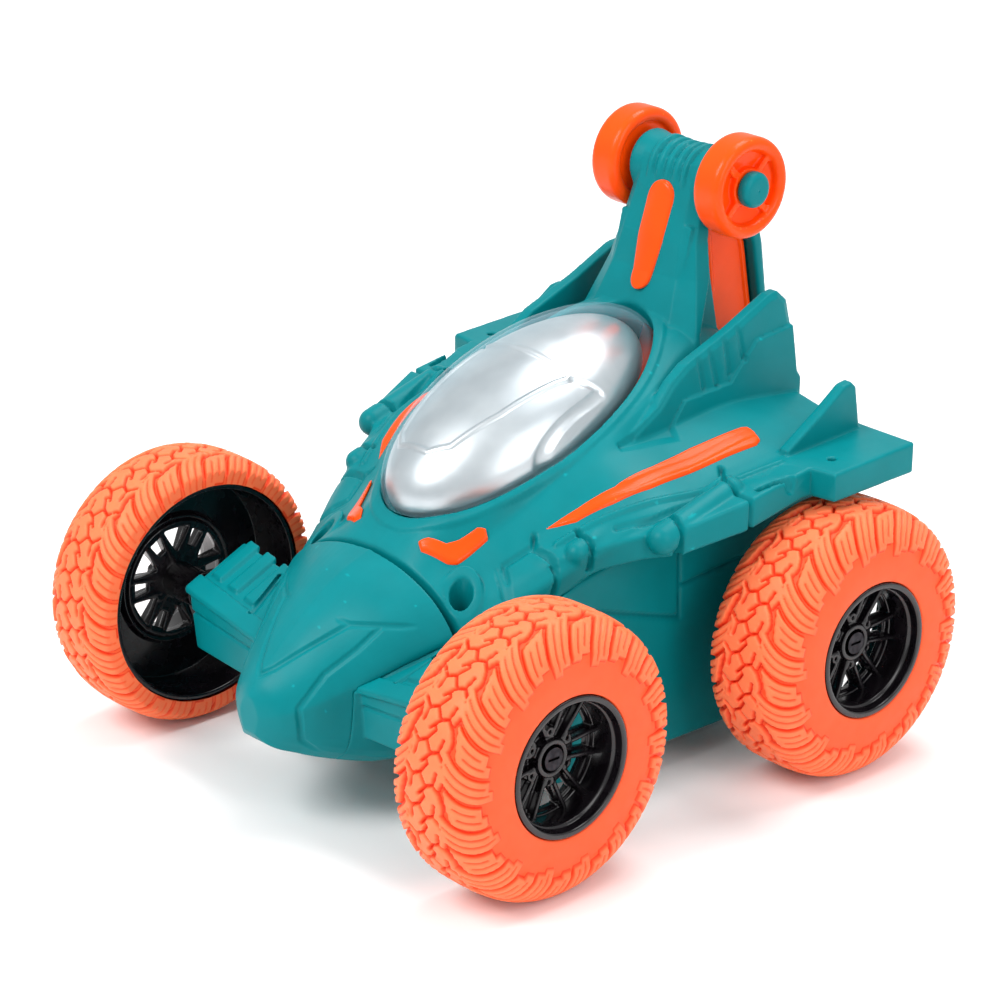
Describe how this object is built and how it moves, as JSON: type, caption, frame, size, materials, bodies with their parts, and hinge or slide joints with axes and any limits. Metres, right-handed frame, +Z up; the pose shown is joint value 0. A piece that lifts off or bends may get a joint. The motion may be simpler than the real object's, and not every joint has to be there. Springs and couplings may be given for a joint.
{
  "type": "rc stunt car",
  "caption": "Wedge-shaped toy stunt car with big soft tyres, a jointed nose, a domed cockpit and a raised tail mast with small rollers for standing upright.",
  "frame": {"origin": "on the ground, midway between the two axles and between the left and right wheels", "axes": "+Z up, nose toward -Y, +X toward the car's left side"},
  "size_m": [0.1464, 0.159, 0.1394],
  "materials": {
    "body_plastic": "satin moulded teal plastic with a fine grain",
    "bright_trim": "satin bright orange plastic",
    "soft_tyre": "soft matt coral orange tyre with moulded tread",
    "rim_plastic": "gloss black moulded plastic",
    "silver_pod": "silver metallised plastic",
    "clear_plastic": "clear glossy plastic dome",
    "steel": "plain steel rod and screws",
    "motor_can": "plated steel motor can",
    "bronze": "sintered bronze",
    "gear_plastic": "white acetal",
    "gearbox_plastic": "black moulded plastic",
    "circuit_green": "green circuit board",
    "led_lens": "clear epoxy lamp",
    "battery_wrap": "blue shrink sleeve",
    "black_plastic": "black moulded plastic"
  },
  "bodies": {
    "chassis": {"upper_body_shell": "body_plastic", "lower_hull": "body_plastic", "mast_inlay": "bright_trim", "tail_arm": "bright_trim", "mast_back_plate": "body_plastic", "tail_axle": "steel", "canopy": "clear_plastic", "cockpit_pod": "silver_pod", "canopy_leds": "led_lens", "circuit_board": "circuit_green", "battery_pack": "battery_wrap", "battery_door": "body_plastic", "battery_door_screw": "steel", "power_switch_body": "black_plastic", "charging_socket": "black_plastic", "body_screws": "steel", "steering_pivot_pin": "steel", "rear_left_bushing": "bronze", "left_idler_pin": "steel", "left_motor": "motor_can", "left_gearbox_case": "gearbox_plastic", "left_gearbox_cover": "gearbox_plastic", "left_tail_hub_cap": "body_plastic", "left_deck_stripe": "bright_trim", "left_chevron": "bright_trim", "rear_right_bushing": "bronze", "right_idler_pin": "steel", "right_motor": "motor_can", "right_gearbox_case": "gearbox_plastic", "right_gearbox_cover": "gearbox_plastic", "right_tail_hub_cap": "body_plastic", "right_deck_stripe": "bright_trim", "right_chevron": "bright_trim"},
    "front_unit": {"nose_hood": "body_plastic", "nose_lower_shell": "body_plastic", "nose_screws": "steel", "front_axle": "steel", "front_left_wheel_screw": "steel", "front_right_wheel_screw": "steel"},
    "front_left_wheel": {"front_left_tyre": "soft_tyre", "front_left_rim": "rim_plastic"},
    "rear_left_wheel": {"rear_left_tyre": "soft_tyre", "rear_left_rim": "rim_plastic", "rear_left_wheel_screw": "steel", "rear_left_shaft": "steel", "left_final_gear": "gear_plastic"},
    "left_idler": {"left_idler_gear": "gear_plastic"},
    "left_rotor": {"left_motor_pinion": "gear_plastic"},
    "left_tail_roller": {"left_tail_wheel": "bright_trim"},
    "front_right_wheel": {"front_right_tyre": "soft_tyre", "front_right_rim": "rim_plastic"},
    "rear_right_wheel": {"rear_right_tyre": "soft_tyre", "rear_right_rim": "rim_plastic", "rear_right_wheel_screw": "steel", "rear_right_shaft": "steel", "right_final_gear": "gear_plastic"},
    "right_idler": {"right_idler_gear": "gear_plastic"},
    "right_rotor": {"right_motor_pinion": "gear_plastic"},
    "right_tail_roller": {"right_tail_wheel": "bright_trim"},
    "power_switch": {"power_switch_knob": "black_plastic"}
  },
  "joints": [
    {"name": "front_unit_steering", "type": "hinge", "parent": "chassis", "child": "front_unit", "pos_m": [0, -0.034, 0.0325], "axis": [0, 0, 1], "range_deg": [-4, 4]},
    {"name": "front_left_wheel_spin", "type": "hinge", "parent": "front_unit", "child": "front_left_wheel", "pos_m": [0.062, -0.047, 0.0325], "axis": [1, 0, 0], "continuous": true},
    {"name": "rear_left_wheel_spin", "type": "hinge", "parent": "chassis", "child": "rear_left_wheel", "pos_m": [0.062, 0.047, 0.0325], "axis": [1, 0, 0], "continuous": true},
    {"name": "left_idler_spin", "type": "hinge", "parent": "chassis", "child": "left_idler", "pos_m": [0.033, 0.03791, 0.03775], "axis": [1, 0, 0], "continuous": true},
    {"name": "left_rotor_spin", "type": "hinge", "parent": "chassis", "child": "left_rotor", "pos_m": [0.031, 0.02891, 0.03775], "axis": [1, 0, 0], "continuous": true},
    {"name": "left_tail_wheel_spin", "type": "hinge", "parent": "chassis", "child": "left_tail_roller", "pos_m": [0.0168, 0.0561, 0.1274], "axis": [1, 0, 0], "continuous": true},
    {"name": "front_right_wheel_spin", "type": "hinge", "parent": "front_unit", "child": "front_right_wheel", "pos_m": [-0.062, -0.047, 0.0325], "axis": [1, 0, 0], "continuous": true},
    {"name": "rear_right_wheel_spin", "type": "hinge", "parent": "chassis", "child": "rear_right_wheel", "pos_m": [-0.062, 0.047, 0.0325], "axis": [1, 0, 0], "continuous": true},
    {"name": "right_idler_spin", "type": "hinge", "parent": "chassis", "child": "right_idler", "pos_m": [-0.033, 0.03791, 0.03775], "axis": [1, 0, 0], "continuous": true},
    {"name": "right_rotor_spin", "type": "hinge", "parent": "chassis", "child": "right_rotor", "pos_m": [-0.031, 0.02891, 0.03775], "axis": [1, 0, 0], "continuous": true},
    {"name": "right_tail_wheel_spin", "type": "hinge", "parent": "chassis", "child": "right_tail_roller", "pos_m": [-0.0168, 0.0561, 0.1274], "axis": [1, 0, 0], "continuous": true},
    {"name": "power_switch_slide", "type": "slide", "parent": "chassis", "child": "power_switch", "axis": [1, 0, 0], "range_m": [0, 0.004]}
  ],
  "couplings": [
    {"joint": "left_idler_spin", "follows": "rear_left_wheel_spin", "ratio": -3.2},
    {"joint": "left_rotor_spin", "follows": "rear_left_wheel_spin", "ratio": 11.2},
    {"joint": "right_idler_spin", "follows": "rear_right_wheel_spin", "ratio": -3.2},
    {"joint": "right_rotor_spin", "follows": "rear_right_wheel_spin", "ratio": 11.2}
  ]
}
